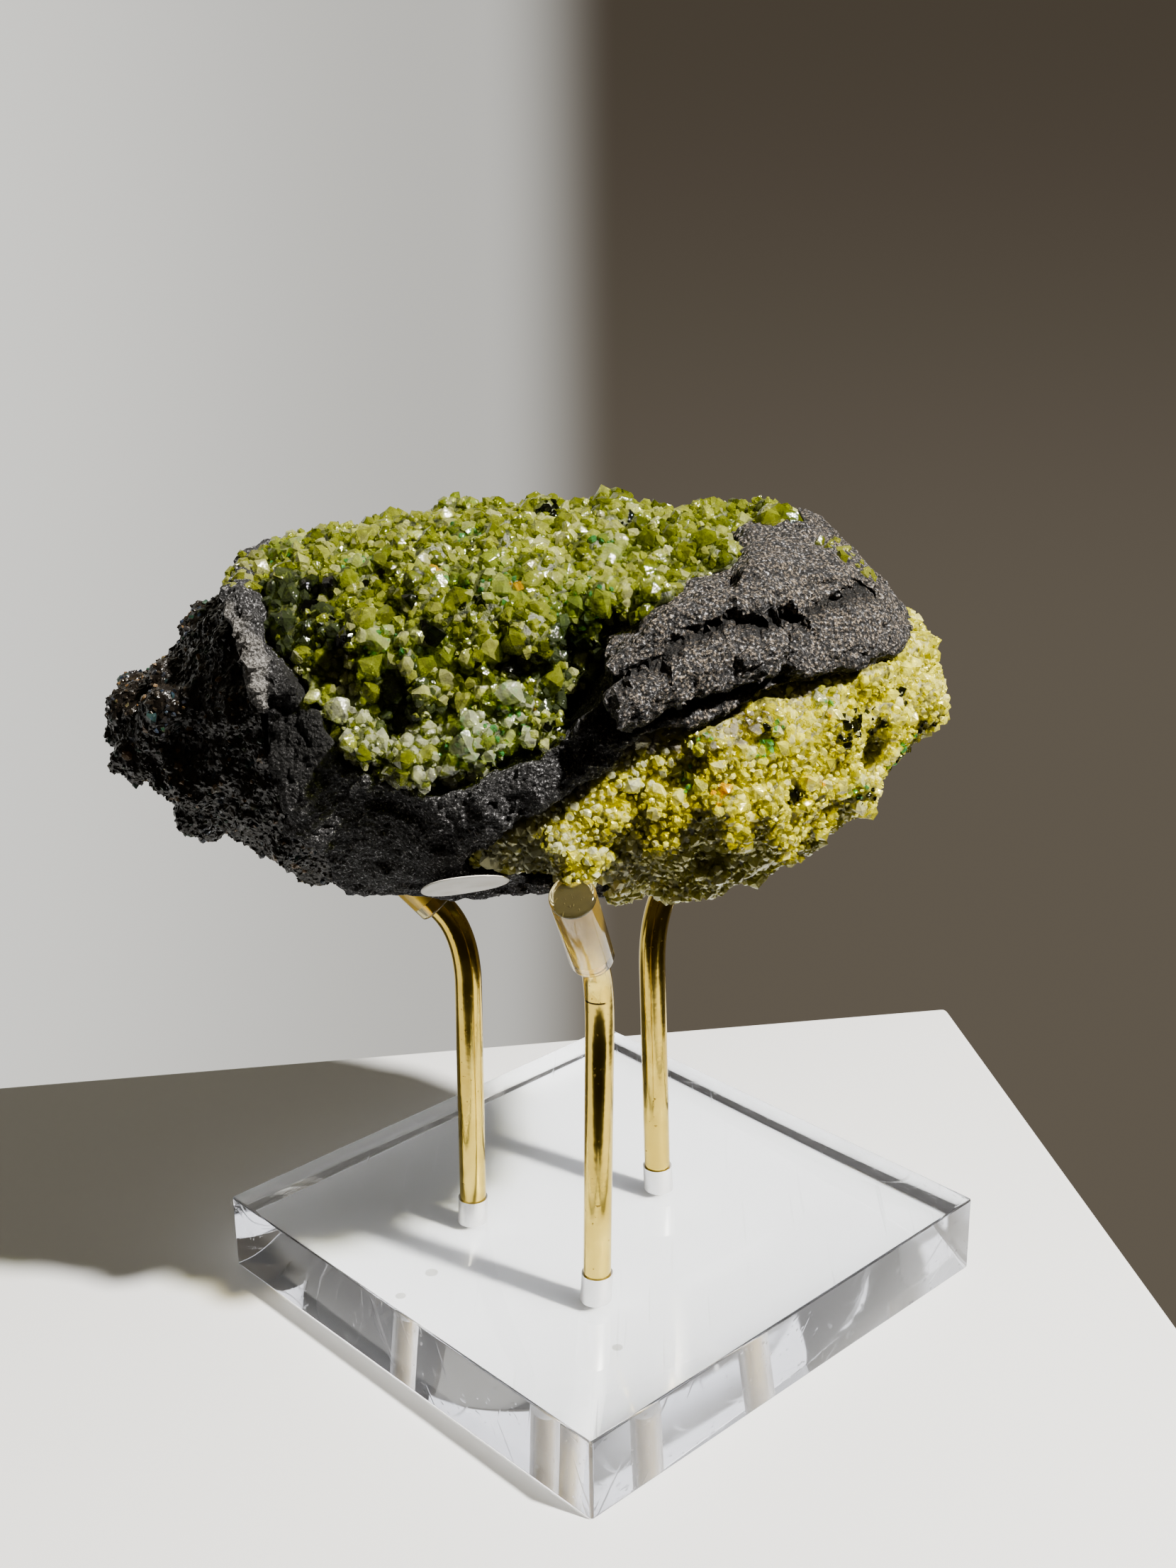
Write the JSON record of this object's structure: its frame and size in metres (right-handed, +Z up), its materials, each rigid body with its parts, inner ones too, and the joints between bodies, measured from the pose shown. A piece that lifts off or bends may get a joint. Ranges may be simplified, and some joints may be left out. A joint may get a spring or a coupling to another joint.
{
  "type": "peridot crystal specimen on a three-peg stand",
  "caption": "Peridot grains in dark basalt, held level on bent brass pegs with clear caps set in a square clear acrylic block.",
  "frame": {"origin": "centre of the acrylic block's underside", "axes": "+Z up, +X along the stone towards its yellower end, +Y away from the viewer; the block stands corner towards -Y"},
  "size_m": [0.1528, 0.1406, 0.1507],
  "materials": {
    "clear_acrylic": "clear polished acrylic",
    "polished_brass": "polished, lightly scratched",
    "clear_vinyl": "clear soft vinyl, slightly yellow",
    "basalt": "rough, fine grained, dusty in places",
    "peridot_green": "glassy granular olivine, yellow green",
    "peridot_yellow": "glassy granular olivine, yellower and finer",
    "dark_crystal": "dark glittering grains",
    "white_paper": "plain matt paper"
  },
  "bodies": {
    "root": {"acrylic_base": "clear_acrylic", "rod_left": "polished_brass", "rod_front": "polished_brass", "rod_back": "polished_brass", "cap_left": "clear_vinyl", "cap_front": "clear_vinyl", "cap_back": "clear_vinyl", "basalt_matrix": "basalt", "peridot_upper": "peridot_green", "peridot_lower": "peridot_yellow", "dark_crystal_crust": "dark_crystal", "label": "white_paper"}
  },
  "joints": []
}
